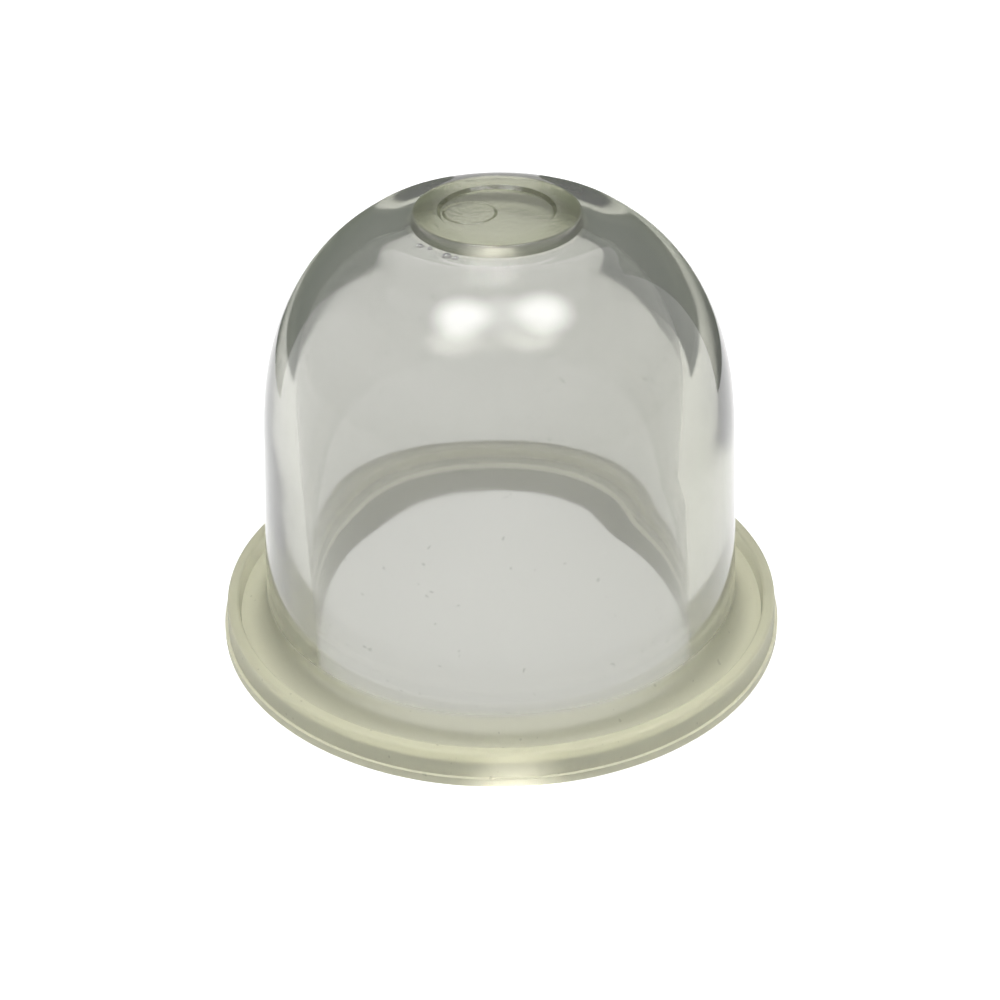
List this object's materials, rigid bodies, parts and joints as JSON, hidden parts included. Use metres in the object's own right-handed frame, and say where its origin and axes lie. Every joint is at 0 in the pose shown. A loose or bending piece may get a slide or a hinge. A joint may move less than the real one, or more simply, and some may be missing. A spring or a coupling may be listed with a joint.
{
  "type": "primer bulb",
  "caption": "Clear squeeze bulb with a domed top, a small round pad, an open mouth below and a grooved clamping flange.",
  "frame": {"origin": "centre of the flange's flat underside, on the bulb's axis", "axes": "+Z along the bulb's axis, from the open mouth towards the pad; X and Y in the plane of the underside"},
  "size_m": [0.022, 0.022, 0.0175],
  "materials": {
    "clear_plastic": "clear with a faint yellow-green tint, glossy on the dome and satin on the flange and pad"
  },
  "bodies": {
    "root": {"primer_bulb": "clear_plastic"}
  },
  "joints": []
}
